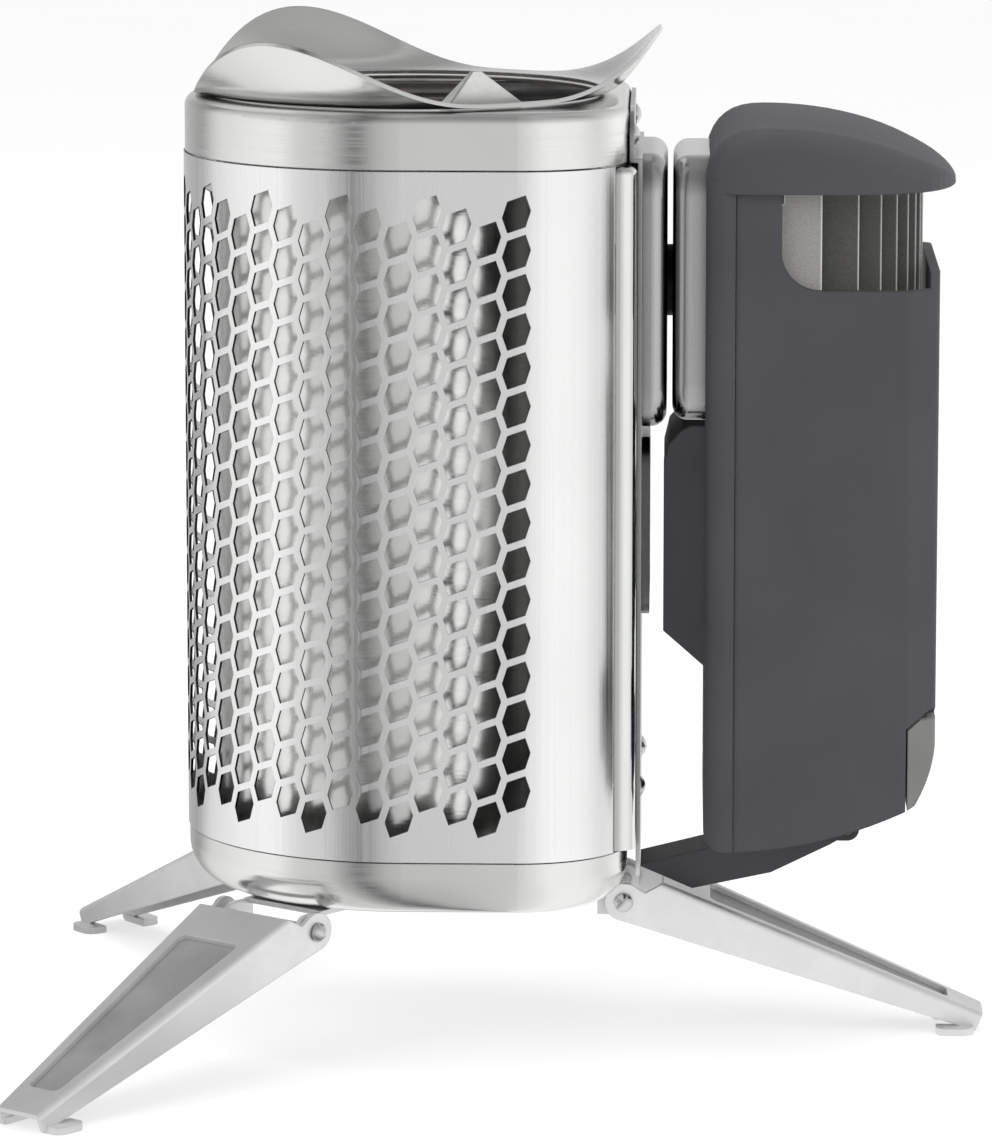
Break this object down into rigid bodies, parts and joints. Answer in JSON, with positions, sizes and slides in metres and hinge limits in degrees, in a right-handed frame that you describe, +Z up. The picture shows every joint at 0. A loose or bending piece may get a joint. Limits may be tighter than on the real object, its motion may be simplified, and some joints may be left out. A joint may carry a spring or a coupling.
{
  "type": "wood-burning camp stove",
  "caption": "Wood-burning camp stove: perforated steel can with wavy pot stand, folding tripod legs and a clip-on fan and generator module.",
  "frame": {"origin": "on the ground under the middle of the legs' footprint", "axes": "+Z up, +X from the burn chamber to the power module"},
  "size_m": [0.2163, 0.2122, 0.2282],
  "materials": {
    "bright_steel": "polished satin",
    "satin_steel": "bead blasted",
    "brushed_steel": "brushed",
    "shell_steel": "brushed",
    "mirror_steel": "bright",
    "jacket_steel": "bright",
    "heat_tinted_steel": "heat tinted",
    "plate_steel": "bright drawn",
    "rivet_steel": "satin",
    "leg_aluminium": "satin",
    "leg_inlay": "grey anodised",
    "charcoal_plastic": "fine texture",
    "fin_aluminium": "satin",
    "ceramic_white": "matte",
    "probe_metal": "heat worn",
    "motor_steel": "satin",
    "black_plastic": "matte",
    "board_green": "satin",
    "battery_wrap": "gloss",
    "socket_steel": "bright",
    "lens_clear": "frosted",
    "screw_steel": "blackened",
    "grey_rubber": "matte"
  },
  "bodies": {
    "stove": {"pot_stand": "bright_steel", "pot_stand_tab": "satin_steel", "top_cap": "brushed_steel", "heat_shell": "shell_steel", "rear_panel": "mirror_steel", "air_jacket": "jacket_steel", "burn_chamber": "heat_tinted_steel", "chamber_rim": "heat_tinted_steel", "fire_grate": "heat_tinted_steel", "base_cap": "brushed_steel", "mounting_plate": "plate_steel", "plate_rivets": "rivet_steel", "leg_brackets": "leg_aluminium", "leg_pins": "rivet_steel"},
    "leg_near_left": {"leg_near_left": "leg_aluminium", "leg_near_left_inlay": "leg_inlay"},
    "leg_far_left": {"leg_far_left": "leg_aluminium", "leg_far_left_inlay": "leg_inlay"},
    "leg_module_side": {"leg_module_side": "leg_aluminium", "leg_module_side_inlay": "leg_inlay"},
    "power_module": {"back_housing": "charcoal_plastic", "front_housing": "charcoal_plastic", "heat_sink": "fin_aluminium", "heat_shroud": "plate_steel", "thermo_cell": "ceramic_white", "heat_probe": "probe_metal", "fan_motor": "motor_steel", "fan_frame": "black_plastic", "circuit_board": "board_green", "battery": "battery_wrap", "usb_socket": "socket_steel", "light_bar": "lens_clear", "housing_screws": "screw_steel", "support_arm": "charcoal_plastic", "arm_pin": "screw_steel"},
    "fan_rotor": {"fan_rotor": "black_plastic"},
    "port_door": {"port_door": "grey_rubber"},
    "power_button": {"power_button": "grey_rubber"},
    "mode_button": {"mode_button": "grey_rubber"},
    "arm_latch": {"arm_latch": "black_plastic"}
  },
  "joints": [
    {"name": "leg_module_side_fold", "type": "hinge", "parent": "stove", "child": "leg_module_side", "pos_m": [0.02658, 0, 0.0313], "axis": [0, 1, 0], "range_deg": [0, 154]},
    {"name": "leg_far_left_fold", "type": "hinge", "parent": "stove", "child": "leg_far_left", "pos_m": [-0.05196, 0.03806, 0.0313], "axis": [-0.788, -0.6157, 0], "range_deg": [0, 120]},
    {"name": "leg_near_left_fold", "type": "hinge", "parent": "stove", "child": "leg_near_left", "pos_m": [-0.05196, -0.03806, 0.0313], "axis": [0.788, -0.6157, 0], "range_deg": [0, 94]},
    {"name": "module_release", "type": "slide", "parent": "stove", "child": "power_module", "axis": [1, 0, 0], "range_m": [0, 0.06]},
    {"name": "fan_spin", "type": "hinge", "parent": "power_module", "child": "fan_rotor", "pos_m": [0.04828, 0, 0.115], "axis": [1, 0, 0], "continuous": true},
    {"name": "port_door_hinge", "type": "hinge", "parent": "power_module", "child": "port_door", "pos_m": [0.09458, 0, 0.0784], "axis": [0, -1, 0], "range_deg": [0, 95], "stiffness_Nm_per_rad": 0.003, "springref_deg": -17.19},
    {"name": "power_button_press", "type": "slide", "parent": "power_module", "child": "power_button", "axis": [-1, 0, 0], "range_m": [0, 0.0006], "stiffness_N_per_m": 250},
    {"name": "mode_button_press", "type": "slide", "parent": "power_module", "child": "mode_button", "axis": [-1, 0, 0], "range_m": [0, 0.0006], "stiffness_N_per_m": 250},
    {"name": "arm_latch_turn", "type": "hinge", "parent": "power_module", "child": "arm_latch", "pos_m": [0.07678, -0.0124, 0.0484], "axis": [0, -1, 0], "range_deg": [0, 40]}
  ]
}
